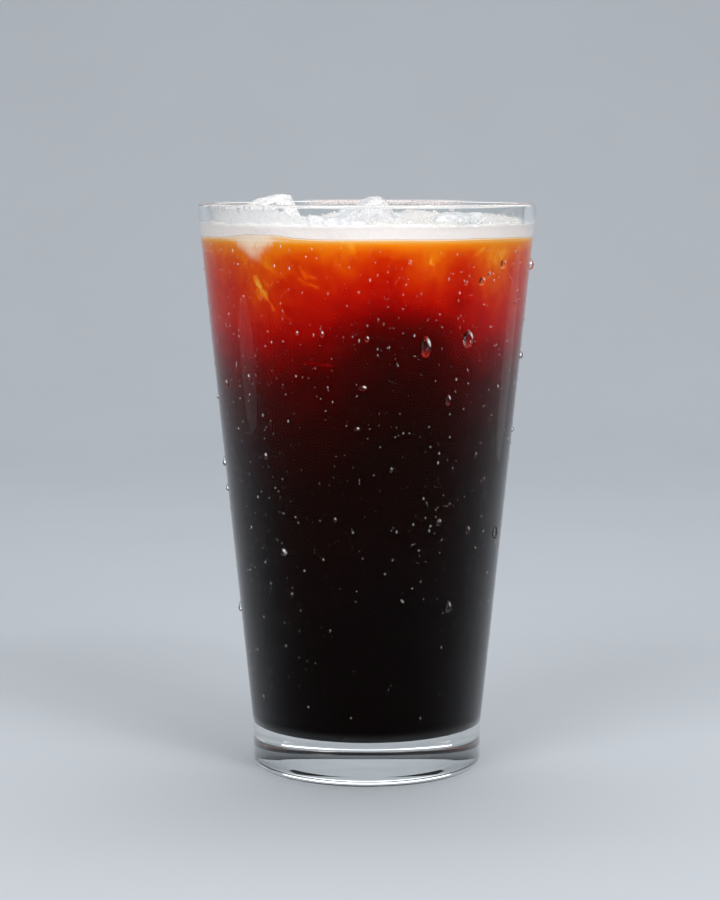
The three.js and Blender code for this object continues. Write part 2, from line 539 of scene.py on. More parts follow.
# Painted highlights: bright seams of light along the edges of ice that lies just behind the wall, as x
# and height at both ends, their widths, in millimetres, and how strongly they show.
PAINTED_SEAM_HIGHLIGHTS = [
    ((-26.6, 136.6), (-22.6, 133.4), 0.9, 0.45),
    ((-22.6, 133.4), (-19.6, 131.2), 0.7, 0.3),
    ((-27.4, 131.8), (-26.2, 129.4), 0.8, 0.9),
    ((-26.2, 129.4), (-24.6, 126.6), 0.8, 0.8),
    ((-26.9, 128.6), (-25.8, 126.2), 0.5, 0.6),
    ((-25.0, 131.0), (-24.2, 129.6), 0.5, 0.5),
    ((-16.6, 134.8), (-14.8, 131.8), 0.6, 0.9),
    ((-15.8, 133.2), (-12.8, 131.8), 0.5, 0.8),
    ((-4.2, 141.0), (-3.2, 138.6), 1.1, 0.8),
    ((-3.4, 138.8), (-2.4, 137.0), 0.6, 0.6),
    ((26.2, 137.2), (28.6, 139.0), 0.6, 0.8),
    ((-24.4, 126.4), (-22.6, 123.6), 0.5, 0.6),
    ((-16.4, 131.8), (-15.0, 130.2), 0.5, 0.6),
    ((-14.8, 130.8), (-12.0, 129.4), 0.5, 0.6),
    ((-15.4, 110.6), (-8.6, 109.8), 0.6, 0.7),
    ((15.6, 137.4), (15.8, 135.6), 0.6, 0.7),
    ((-7.8, 135.4), (-6.2, 134.4), 0.6, 0.6),
    ((-20.4, 122.4), (-18.2, 121.0), 0.6, 0.4),
    ((24.6, 131.2), (26.2, 130.2), 0.5, 0.5),
]

# The pale corner of sunk ice at the upper left: its two upper ends and its tip, as x and height in
# millimetres.
ICE_CORNER = ((-33.0, 141.2), (-24.0, 141.2), (-27.5, 135.0))

# The depth of drink that the painted glow's colours are spread over.
PAINTED_GLOW_DEPTH = 130 * MM

# The drink's colour on its way down from its level, as depth in millimetres and colour: a painted
# glow of light through the ice and foam, orange at the top, fading to the drink's own near black.
PAINTED_GLOW = [
    (0.0, (246, 172, 52)),
    (1.2, (238, 128, 8)),
    (4.0, (224, 84, 2)),
    (8.4, (206, 44, 1)),
    (12.2, (188, 18, 1)),
    (16.0, (162, 6, 1)),
    (20.5, (126, 2, 1)),
    (25.5, (92, 2, 1)),
    (31.0, (62, 2, 1)),
    (43.0, (36, 3, 2)),
    (58.0, (18, 3, 2)),
    (100.0, (7, 3, 3)),
]

# Darker stretches of painted shade (positive) and brighter ones of painted light (negative) across the
# front of the glow: x, how much deeper the drink looks there and the stretch's width, in millimetres.
PAINTED_GLOW_PITS = [
    (-25.0, -2.2, 4.5),
    (-15.5, 1.4, 3.5),
    (4.0, 3.2, 5.0),
    (15.5, -1.6, 3.0),
    (23.5, 2.4, 3.0),
    (31.5, -2.8, 3.5),
]


def bell(value, middle, width):
    """1 at the middle, falling to 0 about two widths away."""
    away = (value - middle) / width
    return 1 / (1 + away * away * away * away)


def drink_material():
    graph = Graph("black_coffee")
    spot, x, y, z = graph.place()
    front = y.rise(22 * MM, -4 * MM)
    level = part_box("coffee")[1].z
    broad = graph.cloud(graph.drawn_up(spot, 0.55), 38.0, 2.0, 0.5)
    fine = graph.cloud(spot, 170.0, 4.0, 0.6, 0.4)
    depth = level - z
    away = (broad - 0.5) * (22 * MM) * (1 - front)
    # Painted shadow: a bell of shade just right of the middle, eased by painted light all across and most
    # on the left and right.
    shadow = bell(x, 8.5 * MM, 11.5 * MM) * (10.5 * MM) * depth.rise(11 * MM, 28 * MM)
    sides = x.rise(0.0, -32 * MM) * 7 + x.rise(14 * MM, 32 * MM) * 5
    shadow = shadow - (sides + 3) * MM * depth.rise(4 * MM, 24 * MM)
    pits = sum(bell(x, place * MM, width * MM) * (deeper * MM) for place, deeper, width in PAINTED_GLOW_PITS)
    pits = pits * depth.rise(26 * MM, 10 * MM)
    glow_streaks = graph.cloud(graph.drawn_up(spot, 0.4), 520.0, 3.0, 0.6, 0.6)
    drift = away + (shadow + pits) * front + (fine - 0.5) * (9 * MM) + (glow_streaks - 0.5) * (5 * MM)
    wander = graph.cloud(spot, 600.0, 2.0) - 0.5
    strokes = []
    for start, end, width, strength in PAINTED_SEAM_HIGHLIGHTS:
        ends = [tuple(part * MM for part in place) for place in (start, end)]
        stroke = near_stroke(x + wander * (1.4 * MM), z + wander * (1.0 * MM), *ends, width * MM)
        strokes.append(stroke * strength)
    painted_seams = functools.reduce(Value.most, strokes)
    patchy = glow_streaks.rise(0.25, 0.5) * painted_seams * front
    # The painted seam highlights lift the glow, as if the drink were shallower along them.
    lift = (depth * 0.6).least(9 * MM) * patchy
    # The painted glow: depth picks the colour, shifted by streaks, painted shade and painted light.
    painted_glow = (depth + drift * depth.rise(0.0, 5 * MM) - lift) / PAINTED_GLOW_DEPTH
    body = graph.ramp(painted_glow, *[(at * MM / PAINTED_GLOW_DEPTH, srgb(*tone)) for at, tone in PAINTED_GLOW])
    cream = depth.rise(0.5 * MM, 0.0)
    body = graph.blend(cream * 0.8, body, srgb(246, 196, 132))
    body = graph.blend(ice_corner_mask(x, z, fine) * front, body, srgb(255, 238, 212))
    return graph.surface(Base_Color=body, Roughness=0.35, Specular_IOR_Level=0.0)


def ice_corner_mask(x, z, fine):
    """Where a pale corner of ice touches the front of the glass just under the drink's level."""
    (left, top), (right, _), (tip, bottom) = [(a * MM, b * MM) for a, b in ICE_CORNER]
    share = (top - z) / (top - bottom)
    low = left + share * (tip - left)
    high = right + share * (tip - right)
    wander = (fine - 0.5) * (9 * MM)
    inside = (x + wander - low).rise(-1.6 * MM, 4.4 * MM) * (high - x + wander).rise(-1.6 * MM, 3.6 * MM)
    return inside * share.rise(1.15, 0.2) * fine.rise(0.2, 0.5) * 0.9


class DRINK_OT_coffee(bpy.types.Operator):
    """Fills the glass with the drink up to its level, just into the wall"""

    bl_idname = "drink.coffee"
    bl_label = "Drink"

    def execute(self, context):
        size = sizes()
        wall = Wall()
        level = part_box("coffee")[1].z
        corner = size.floor_round + size.reach
        middle = size.floor_radius - size.floor_round
        segments, corner_steps = 128, 12
        profile = [
            (0.0, size.floor_height - size.reach),
            *arc(middle, wall.foot_height, corner, -QUARTER, 0, corner_steps),
            (wall.inner(level) + size.reach, level),
            (0.0, level),
        ]
        points, faces = turned(even(profile, 5 * MM), segments)
        add_piece("coffee_body", points, faces, drink_material(), ["coffee"])
        return {"FINISHED"}


# Foam.

# Low hills of foam over ice that doesn't break through, as x, y, height and width in millimetres.
FOAM_HILLS = [
    (33, 17, 1.5, 9),
    (26, 27, 1.2, 8),
    (24, 8, 1.1, 6),
    (12, 37.5, 2.0, 6),
    (19, 35, 1.5, 6),
    (3, 24, 1.3, 8),
    (-8, 13, 1.8, 9),
    (-13, -17, 1.4, 8),
    (-27, 14, 1.2, 10),
    (-34, -14, 1.0, 7),
    (7, -6, 0.9, 5),
]

# The foam's unevenness in three sizes, as height in millimetres, fineness and place in the noise.
FOAM_NOISE = [(0.42, 0.33, 1.7), (0.2, 0.95, 6.1), (0.1, 2.3, 3.3)]


def foam_height(x, y):
    """Height of the foam's top above its level, in metres, at a place in metres."""
    mm_x, mm_y = x / MM, y / MM
    swell = 0.3 * math.sin(mm_x * 0.19 + 0.6) * math.cos(mm_y * 0.16 - 0.4)
    hills = sum(
        high * math.exp(-((mm_x - at_x) ** 2 + (mm_y - at_y) ** 2) / (2 * (wide / 2) ** 2))
        for at_x, at_y, high, wide in FOAM_HILLS
    )
    total = swell + hills
    for high, fine, place in FOAM_NOISE:
        total += high * noise.noise(Vector((mm_x * fine, mm_y * fine, place)))
    return total * MM


def foam_material():
    """Pale bubbly foam with painted light: whiter low down in part, and orange in its cream band. A thin
    brown line runs at its foot.
    """
    graph = Graph("coffee_foam")
    spot, x, y, z = graph.place()
    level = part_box("foam")[0].z
    bubbles = graph.cells(spot, 1500.0)
    pits = graph.cells(spot, 560.0)
    cloudy = graph.cloud(spot, 120.0, 3.0)
    tone = graph.blend(cloudy.rise(0.35, 0.65), srgb(222, 217, 215), tuple(colours().foam))
    tone = graph.blend(pits.rise(0.22, 0.02) * 0.35, tone, srgb(214, 198, 184))
    hump = bell(x, -26 * MM, 7 * MM) * (0.95 * MM) * y.rise(0.0, -10 * MM)
    waver = (graph.cloud(spot, 60.0, 1.0) - 0.5) * (0.5 * MM)
    up = z - level - 0.2 * MM - hump - waver
    # Whiter low down: partly the foam's own white, partly painted light that lifts the shade on its side.
    white = up.rise(5.5 * MM, 1.4 * MM)
    tone = graph.blend(white * 0.85, tone, srgb(251, 248, 246))
    # At the foot the drink's painted glow shows, orange below and cream above, paler over the ice.
    painted_glow = up.rise(0.05 * MM, -0.05 * MM)
    cream_and_painted_glow = graph.blend(up.rise(-0.5 * MM, -0.1 * MM), srgb(252, 176, 60), srgb(255, 234, 196))
    over_ice = bell(x, -28 * MM, 5.5 * MM) * y.rise(0.0, -10 * MM)
    cream_and_painted_glow = graph.blend(over_ice * 0.9, cream_and_painted_glow, srgb(255, 242, 222))
    tone = graph.blend(painted_glow, tone, cream_and_painted_glow)
    line = up.rise(-0.06 * MM, 0.02 * MM) * up.rise(0.12 * MM, 0.04 * MM)
    tone = graph.blend(line * 0.65, tone, srgb(160, 108, 64))
    height = bubbles * 0.6 + pits * 0.8
    return graph.surface(
        Base_Color=tone,
        Roughness=0.5,
        Specular_IOR_Level=0.3,
        Normal=graph.bump(height, 0.3 * MM, 0.35),
    )


class DRINK_OT_foam(bpy.types.Operator):
    """Lays the foam on the drink, with its uneven top"""

    bl_idname = "drink.foam"
    bl_label = "Foam"

    def execute(self, context):
        size = sizes()
        wall = Wall()
        rings, segments, side_steps = 110, 300, 8
        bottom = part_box("coffee")[1].z - 0.1 * MM
        edge_top = wall.inner(size.foam_level) + size.reach
        climb = 0.3 * MM
        climb_sharpness = 24
        thickness = size.foam_level - bottom
        levels = [bottom, bottom + 0.04 * MM]
        levels += [bottom + thickness * step / side_steps for step in range(1, side_steps)]
        edge = [(wall.inner(height) + size.reach, height) for height in levels]
        points = [(0.0, 0.0, bottom), *ring_points(edge, segments)]
        for ring in range(rings):
            share = 1 - ring / rings
            for x, y, z in ring_points([(edge_top * share, size.foam_level)], segments):
                lift = foam_height(x, y) + climb * share ** climb_sharpness
                points.append((x, y, z + lift))
        points.append((0.0, 0.0, size.foam_level + foam_height(0.0, 0.0)))
        faces = ring_faces(0, len(edge) + rings, segments)
        add_piece("foam_layer", points, faces, foam_material(), ["foam"])
        return {"FINISHED"}


class DRINK_OT_bubbles(bpy.types.Operator):
    """Sets small bubbles on the foam's top, thickest along the wall"""

    bl_idname = "drink.bubbles"
    bl_label = "Bubbles"

    def execute(self, context):
        level = sizes().foam_level
        reach = Wall().inner(level)
        draw = random.Random(3)
        sides, rings = 8, 3
        tilts = [math.radians(38 * ring) for ring in range(1, rings + 1)]
        edge_gap, proud = 0.4 * MM, 0.15 * MM
        points, faces = [], []
        for _ in range(sizes().bubbles):
            far = reach * (1 - draw.random() ** 2 * 0.97) - edge_gap
            angle = draw.uniform(0, TAU)
            x, y = far * math.cos(angle), far * math.sin(angle)
            size = (0.14 + 0.5 * draw.random() ** 3) * MM
            z = level + foam_height(x, y) + proud
            rows = [(size * math.sin(tilt), size * math.cos(tilt)) for tilt in tilts]
            ball = [(0.0, 0.0, size), *ring_points(rows, sides), (0.0, 0.0, -size)]
            faces += ring_faces(len(points), rings, sides, downward=True)
            points += [(x + off_x, y + off_y, z + off_z) for off_x, off_y, off_z in ball]
        add_piece("foam_bubbles", points, faces, bubble_material())
        return {"FINISHED"}


def bubble_material():
    graph = Graph("small_bubble")
    spot, *_ = graph.place()
    tone = graph.blend(graph.cloud(spot, 700.0, 1.0), srgb(236, 226, 218), srgb(255, 255, 255))
    return graph.surface(
        through=(0.9, 0.9, 0.9), Base_Color=tone, Roughness=0.08, IOR=1.4, Transmission_Weight=0.5
    )


# Ice.

def ice_material(name, cover, through, relief):
    """Wet ice, clear where its cloud is thin.

    Cover is the share that the white cloud takes, through is the tint of the light that passes the
    block, and relief is how strongly its surface ripples.
    """
    graph = Graph(name)
    spot, *_ = graph.place()
    patches = graph.cloud(spot, 260.0, 5.0, 0.7)
    bubbles = graph.cells(spot, 700.0)
    ripple = graph.cloud(spot, 420.0, 2.0)
    bump = graph.bump(ripple + bubbles * 0.4, 0.5 * MM, relief)
    clear = graph.principled(
        Base_Color=(0.97, 0.985, 1.0),
        Roughness=0.03,
        IOR=1.31,
        Transmission_Weight=1.0,
        Normal=bump,
    )
    tone = graph.blend(ripple.rise(0.35, 0.6), srgb(220, 217, 222), tuple(colours().ice))
    cloudy = graph.principled(Base_Color=tone, Roughness=0.35, IOR=1.31, Normal=bump)
    cloud = (patches + cover - 1 + bubbles.rise(0.32, 0.1) * 0.12).rise(-0.12, 0.12)
    return graph.finish(graph.mix(cloud, clear, cloudy), through)


# How often each edge of an ice block is divided, and how often the block is then softened.
ICE_CUTS = 6
SOFTENING_ROUNDS = 3


def refined(node, name):
    """The node's solid as a finer, softened mesh of its own."""
    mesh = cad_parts[node].data.copy()
    mesh.name = name
    form = bmesh.new()
    form.from_mesh(mesh)
    bmesh.ops.remove_doubles(form, verts=form.verts, dist=0.01 * MM)
    bmesh.ops.subdivide_edges(form, edges=form.edges, cuts=ICE_CUTS, use_grid_fill=True)
    for _ in range(SOFTENING_ROUNDS):
        bmesh.ops.smooth_vert(
            form, verts=form.verts, factor=0.5, use_axis_x=True, use_axis_y=True, use_axis_z=True
        )
    form.normal_update()
    form.to_mesh(mesh)
    form.free()
    return placed(name, mesh)


def roughen(piece, seed, coarse, fine):
    """Moves the piece's points along their normals by two sizes of noise."""
    vertices = piece.data.vertices
    normals = [vertex.normal.copy() for vertex in vertices]
    moved = []
    for vertex, normal in zip(vertices, normals):
        spot = vertex.co / MM
        broad = noise.noise(spot * 0.22 + Vector((seed, 0, 0)))
        grain = noise.noise(spot * 0.9 + Vector((0, seed, 0)))
        moved.append(vertex.co + normal * (coarse * broad + fine * grain))
    vertices.foreach_set("co", [part for place in moved for part in place])
    piece.data.update()


class DRINK_OT_ice(bpy.types.Operator):
    """Dresses each block of ice that breaks through the foam"""

    bl_idname = "drink.ice"
    bl_label = "Ice"

    def execute(self, context):
        clear = ice_material("clear_ice", 0.26, (0.85, 0.88, 0.9), 0.2)
        bubbly = ice_material("bubbly_ice", 0.5, (0.8, 0.83, 0.85), 0.6)
        cloudy = ice_material("cloudy_ice", 0.72, (0.6, 0.63, 0.65), 0.7)
        looks = {"ice_corner": clear, "ice_peak": bubbly}
        seed_step, coarse, fine = 5.3, 0.35 * MM, 0.22 * MM
        for order, node in enumerate(ICE_NODES):
            piece = refined(node, node + "_block")
            roughen(piece, order * seed_step, coarse, fine)
            dress(piece, looks.get(node, cloudy), [node])
        return {"FINISHED"}


# Frost on the ice that stands against the front of the glass: where its needles grow from and how far
# their feet spread, in millimetres, and how many there are.
FROST_CENTRE = (25.0, -29.5, 145.2)
FROST_SPREAD = (1.6, 1.2, 0.2)
FROST_NEEDLES = 46


def frost_material():
    graph = Graph("white_frost")
    spot, *_ = graph.place()
    grains = graph.cloud(spot, 900.0, 2.0)
    return graph.surface(
        Base_Color=graph.blend(grains, srgb(234, 240, 246), srgb(255, 255, 255)),
        Roughness=0.3,
    )


class DRINK_OT_frost(bpy.types.Operator):
    """Grows a fan of frost needles from the ice that stands against the front of the glass"""

    bl_idname = "drink.frost"
    bl_label = "Frost"

    def execute(self, context):
        draw = random.Random(7)
        points, faces = [], []
        for _ in range(FROST_NEEDLES):
            foot = Vector(FROST_CENTRE) + Vector([draw.gauss(0, spread) for spread in FROST_SPREAD])
            lean = Vector((draw.gauss(0, 0.8), draw.gauss(0, 0.5), draw.uniform(0.25, 1.0))).normalized()
            side = lean.orthogonal().normalized()
            other = lean.cross(side)
            length = draw.uniform(0.9, 2.2)
            thick = draw.uniform(0.1, 0.2)
            first = len(points)
            for angle in ring_angles(3):
                points.append((foot + thick * (math.cos(angle) * side + math.sin(angle) * other)) * MM)
            points.append((foot + length * lean) * MM)
            faces += [(first, first + 2, first + 1)]
            faces += [(first + a, first + b, first + 3) for a, b in ((0, 1), (1, 2), (2, 0))]
        add_piece("frost_needles", points, faces, frost_material())
        return {"FINISHED"}


# Condensation.

def between(value):
    """The value, kept from 0 to 1."""
    return min(max(value, 0.0), 1.0)


class Beads:
    """Drops gathered into one mesh."""

    def __init__(self, wall):
        self.wall = wall
        self.points = []
        self.faces = []
        self.painted_gleams = []
        self.painted_glints = []

    def add(self, turn, height, wide, tall, out, sides, rings, inside=False):
        """A drop on the wall, wider towards its foot, with its rim sunk into the glass.

        Its painted glint lies at the upper right, and a painted crescent of the drink's light along its
        foot.
        """
        sink = 0.06 * MM
        hang = 0.25
        glint_at = math.radians(48)
        glint_out = 0.6
        place = self.wall.on_inside if inside else self.wall.on_outside
        radius = self.wall.inner(height) if inside else self.wall.outer(height)
        first = len(self.points)

        def put(across, along, proud, gleam=0.0, glint=0.0):
            self.points.append(place(turn + across / radius, height + along, proud))
            self.painted_gleams.append(gleam)
            self.painted_glints.append(glint)

        put(0.0, -hang * tall * 0.3, out)
        for ring in range(1, rings + 1):
            share = ring / rings
            bulge = out * max(1 - share ** 2.2, 0.0) ** 0.55
            for angle in ring_angles(sides):
                along = math.sin(angle) * share
                pinch = 1 - hang * (along + share) * 0.5
                across = math.cos(angle) * share * pinch * wide / 2
                lift = bulge * (1 - hang * along * 0.6)
                proud = lift if ring < rings else -sink
                # The painted crescent along the foot, standing in for the drink's light seen through the
                # drop.
                low = between(-math.sin(angle) * 1.6 - 0.5)
                gleam = low * between((share - glint_out) / 0.25)
                # The painted glint: a white highlight near the upper right.
                near = max(3 * math.cos(angle - glint_at) - 2, 0.0)
                glint = min(1.5 * near * max(1 - abs(share - glint_out) / 0.3, 0.0), 1.0)
                put(across, along * tall / 2, proud, gleam, glint)
        put(0.0, 0.0, -sink)
        faces = ring_faces(first, rings, sides, downward=True)
        self.faces += [tuple(reversed(face)) if inside else face for face in faces]

    def make(self, name, material):
        """The drops as one piece, with each point's painted crescent and painted glint kept as attributes.
        """
        piece = add_piece(name, self.points, self.faces, material)
        for label, values in (("gleam", self.painted_gleams), ("glint", self.painted_glints)):
            kept = piece.data.attributes.new(label, "FLOAT", "POINT")
            kept.data.foreach_set("value", values)


def clear_water(graph, roughness):
    """Water's own shader, with its reflections held back as the photograph shows them."""
    return graph.principled(
        Base_Color=(0.98, 0.99, 1.0),
        Roughness=roughness,
        IOR=1.33,
        Specular_Tint=(0.2, 0.2, 0.2),
        Transmission_Weight=1.0,
    )


def water_material():
    """Clear water with a painted white glint near its top and the drink's light painted along its foot."""
    graph = Graph("water_drop")
    *_, z = graph.place()
    # A painted white highlight, mixed in where the glint attribute marks it.
    white = graph.principled(Base_Color=srgb(255, 246, 244), Roughness=0.2)
    # The drink's painted light at the drop's height, for the painted crescent at its foot.
    share = (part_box("coffee")[1].z - z) / PAINTED_GLOW_DEPTH
    gathered = graph.ramp(
        share,
        (0.0, srgb(255, 190, 110)),
        (0.08, srgb(255, 120, 40)),
        (0.16, srgb(226, 40, 8)),
        (0.26, srgb(150, 20, 10)),
        (0.4, srgb(96, 60, 54)),
        (1.0, srgb(90, 84, 86)),
    )
    painted_glow_shader = graph.principled(Base_Color=gathered, Roughness=0.2, Specular_IOR_Level=0.0)
    water = graph.mix(graph.kept("gleam") * 0.6, clear_water(graph, 0.0), painted_glow_shader)
    mixed = graph.mix(graph.kept("glint") * 0.9, water, white)
    return graph.finish(mixed, (0.95, 0.96, 0.97))


def mist_material():
    """Fine drops of clear water, some of them paler by a painted sparkle, each with its painted glint."""
    graph = Graph("fine_mist")
    spot, *_ = graph.place()
    painted_sparkle = graph.cloud(spot, 400.0, 1.0).rise(0.35, 0.65)
    pale = graph.principled(Base_Color=srgb(250, 244, 242), Roughness=0.15)
    # Painted highlights: pale specks here and there, and each drop's glint.
    painted_shine = (painted_sparkle * 0.35).most(graph.kept("glint") * 0.8)
    mixed = graph.mix(painted_shine, clear_water(graph, 0.05), pale)
    return graph.finish(mixed, (0.95, 0.96, 0.97))


# The larger drops that the photograph shows, as the column and row of their middles in its pixels,
# and their width and height in millimetres.
LARGE_DROPS = [
    (426, 347, 3.0, 5.6),
    (468, 339, 2.8, 4.8),
    (448, 400, 1.5, 3.0),
    (482, 281, 1.9, 2.3),
    (503, 264, 1.9, 2.6),
    (489, 275, 1.0, 1.5),
    (466, 283, 0.9, 1.2),
    (515, 302, 0.9, 1.3),
    (363, 388, 2.6, 1.5),
    (357, 429, 1.8, 1.1),
    (249, 377, 1.0, 1.8),
    (227, 383, 1.1, 2.0),
    (322, 334, 1.3, 1.8),
    (297, 333, 1.1, 1.2),
    (367, 339, 1.4, 1.7),
    (284, 552, 1.7, 2.2),
    (467, 530, 1.4, 2.4),
    (495, 532, 2.0, 3.6),
    (483, 480, 1.1, 2.0),
    (475, 455, 1.0, 1.9),
    (439, 522, 1.0, 2.0),
    (448, 607, 1.4, 3.4),
    (251, 652, 0.8, 1.2),
    (258, 650, 0.7, 0.9),
    (253, 670, 0.7, 1.0),
    (256, 684, 0.6, 0.8),
    (264, 697, 0.5, 1.6),
    (286, 646, 0.6, 0.8),
    (292, 594, 0.8, 0.8),
    (330, 631, 0.7, 0.9),
    (264, 617, 0.6, 0.8),
    (391, 470, 0.9, 1.6),
    (266, 456, 1.2, 2.0),
    (335, 520, 0.9, 1.5),
    (410, 262, 1.0, 1.2),
]

# Drops that stand out from the outline, as the side (-1 left, 1 right), row in the photograph, width
# and height in millimetres, and how far they are turned from the front.
OUTLINE_TURN = math.radians(86)
OUTLINE_DROPS = [
    (1, 264, 2.2, 2.9),
    (1, 354, 1.6, 2.1),
    (1, 428, 1.0, 1.4),
    (-1, 460, 1.6, 2.6),
    (-1, 486, 1.3, 1.9),
    (-1, 605, 1.6, 2.6),
    (-1, 395, 0.9, 1.4),
]

# Foamy drops that hang inside the glass just under the lip, as turn from the front in degrees, then
# height on the wall, width and own height in millimetres.
HANGING_DROPS = [
    (144, 147.6, 3.2, 2.0),
    (148, 148.2, 1.8, 1.0),
    (192, 148.2, 1.6, 0.9),
    (129, 147.9, 1.8, 0.9),
]

# How far drops stand out from the wall, against their width, and the hanging ones against their height.
LARGE_PROUD = 0.36
OUTLINE_PROUD = 0.42
FINE_PROUD = 0.34
HANGING_PROUD = 0.5

# How many sides and rings a drop's mesh has.
LARGE_MESH = (20, 7)
BACK_MESH = (18, 6)
FINE_MESH = (8, 2)

# Like drops on the side that the photograph doesn't show: how many, and their turns from the front.
BACK_DROPS = 70
BACK_TURNS = (math.radians(95), math.radians(265))


class DRINK_OT_condensation(bpy.types.Operator):
    """Beads the outside of the glass with condensation, and its inside under the lip with foamy drops"""

    bl_idname = "drink.condensation"
    bl_label = "Condensation"

    def execute(self, context):
        wall = Wall()
        large = Beads(wall)
        for column, row, wide, tall in LARGE_DROPS:
            turn, height = seen_on_wall(wall, column, row)
            # The width is as the photograph shows it, foreshortened by the turn.
            seen = max(math.cos(turn), 0.8)
            large.add(turn, height, wide / seen * MM, tall * MM, LARGE_PROUD * wide * MM, *LARGE_MESH)
        for side, row, wide, tall in OUTLINE_DROPS:
            turn, height = side * OUTLINE_TURN, height_of_outline(row)
            large.add(turn, height, wide * MM, tall * MM, OUTLINE_PROUD * wide * MM, *LARGE_MESH)
        draw = random.Random(20)
        for _ in range(BACK_DROPS):
            turn = draw.uniform(*BACK_TURNS)
            height = draw.uniform(16 * MM, 138 * MM)
            wide = draw.uniform(0.9, 2.1) * MM
            tall = wide * draw.uniform(1.1, 2.2)
            large.add(turn, height, wide, tall, LARGE_PROUD * wide, *BACK_MESH)
        large.make("large_drops", water_material())
        fine = Beads(wall)
        lowest, highest = 14, 140
        for _ in range(sizes().small_drops):
            turn = draw.uniform(0, TAU)
            # More of them lie high up, and most are small.
            height = (lowest + (highest - lowest) * draw.random() ** 0.55) * MM
            wide = (0.15 + 0.36 * draw.random() ** 4) * MM
            tall = wide * draw.uniform(0.8, 2.2)
            fine.add(turn, height, wide, tall, FINE_PROUD * wide, *FINE_MESH)
        fine.make("fine_drops", mist_material())
        hanging = Beads(wall)
        for turn, height, wide, tall in HANGING_DROPS:
            turn, out = math.radians(turn), HANGING_PROUD * tall * MM
            hanging.add(turn, height * MM, wide * MM, tall * MM, out, *LARGE_MESH, inside=True)
        hanging.make("hanging_drops", bubble_material())
        return {"FINISHED"}


# Foam film inside the wall.

def film_material():
    """Streaks of foam, thick low down and on the left, thinning to specks and clear patches."""
    graph = Graph("foam_film")
    spot, x, y, z = graph.place()
    level = sizes().foam_level
    streaks = graph.cloud(graph.drawn_up(spot, 0.1), 900.0, 2.0, 0.6)
    patches = graph.cloud(graph.drawn_up(spot, 0.3), 260.0, 1.0)
    grains = graph.cloud(spot, 1100.0, 2.0)
    rise = (z - level) / (Wall().top - level)
    left = (x + rise * (13 * MM)).rise(-3 * MM, -17 * MM) * y.rise(20 * MM, 6 * MM)
    grit = (streaks - 0.5) * 2.2 + (patches - 0.5) * 1.6 + (grains - 0.5) * 1.5
    cover = 1.5 * left - 0.15 - rise ** 3 * 1.3 + grit
    return graph.surface(
        Base_Color=graph.blend(grains.rise(0.4, 0.6), srgb(246, 242, 244), srgb(255, 251, 250)),
        Roughness=0.45,
        Alpha=cover.rise(0.1, 0.55) * 0.97,
        Specular_IOR_Level=0.3,
    )


def residue_material():
    """Pale and pinkish brown flecks of dried foam."""
    graph = Graph("rim_residue")
    spot, x, *_ = graph.place()
    flecks = graph.cloud(spot, 2600.0, 3.0, 0.6)
    ends = x.rise(30 * MM, 20 * MM) * x.rise(-20 * MM, -11 * MM)
    brown = graph.cloud(spot, 2200.0, 2.0)
    return graph.surface(
        Base_Color=graph.blend(brown.rise(0.52, 0.66), srgb(250, 244, 242), srgb(204, 172, 160)),
        Roughness=0.5,
        Alpha=flecks.rise(0.34, 0.56) * ends * 0.8,
        Specular_IOR_Level=0.3,
    )


class DRINK_OT_film(bpy.types.Operator):
    """Leaves the foam film inside the wall, from the foam to the lip, and the dried flecks on the lip"""

    bl_idname = "drink.film"
    bl_label = "Foam film"

    def execute(self, context):
        wall = Wall()
        low = sizes().foam_level - 0.6 * MM
        high = wall.lip_height
        inner_end, outer_end = 195, 95

        def up_the_wall(turn, share, layer):
            return wall.on_inside(turn, low + (high - low) * share, layer)

        def round_the_lip(turn, share, layer):
            angle = math.radians(inner_end - share * (inner_end - outer_end))
            return at_turn(turn, *wall.lip(angle, layer))

        self.add_film("wall_film", up_the_wall, (-128, -8), film_material())
        self.add_film("rim_residue", round_the_lip, (137, 207), residue_material())
        return {"FINISHED"}

    @staticmethod
    def add_film(name, place, turns, material):
        """A thin shell on the wall between two turns, given in degrees."""
        start, end = (math.radians(turn) for turn in turns)
        steps, across = 10, 120
        proud, thick = 0.05 * MM, 0.08 * MM
        points = [
            place(start + (end - start) * column / across, row / steps, layer)
            for layer in (proud + thick, proud)
            for row in range(steps + 1)
            for column in range(across + 1)
        ]
        faces = []
        span = across + 1
        sheet = (steps + 1) * span
        for row in range(steps):
            for column in range(across):
                a = row * span + column
                faces.append((a, a + span, a + span + 1, a + 1))
                b = a + sheet
                faces.append((b, b + 1, b + span + 1, b + span))
        ring = list(range(span))
        ring += [row * span + across for row in range(1, steps + 1)]
        ring += [steps * span + column for column in range(across - 1, -1, -1)]
        ring += [row * span for row in range(steps - 1, 0, -1)]
        for a, b in zip(ring, ring[1:] + ring[:1]):
            faces.append((a, b, b + sheet, a + sheet))
        add_piece(name, points, faces, material)


# Stage.

def backdrop_material():
    graph = Graph("studio_paper")
    spot, *_ = graph.place()
    mottle = graph.cloud(spot, 9.0, 2.0)
    tint = tuple(colours().floor)
    darker = tuple(part * 0.94 for part in tint)
    return graph.surface(
        Base_Color=graph.blend(mottle, tint, darker),
        Roughness=0.75,
        Specular_IOR_Level=0.2,
    )


def add_softbox(name, place, target, wide, tall, power, shape="RECTANGLE"):
    light = bpy.data.lights.new(name, "AREA")
    light.shape = shape
    light.size = wide
    light.size_y = tall
    light.energy = power
    lamp = placed(name, light)
    lamp.location = place
    lamp.rotation_mode = "QUATERNION"
    lamp.rotation_quaternion = (Vector(target) - Vector(place)).to_track_quat("-Z", "Y")
    lamp.visible_camera = False
    return lamp


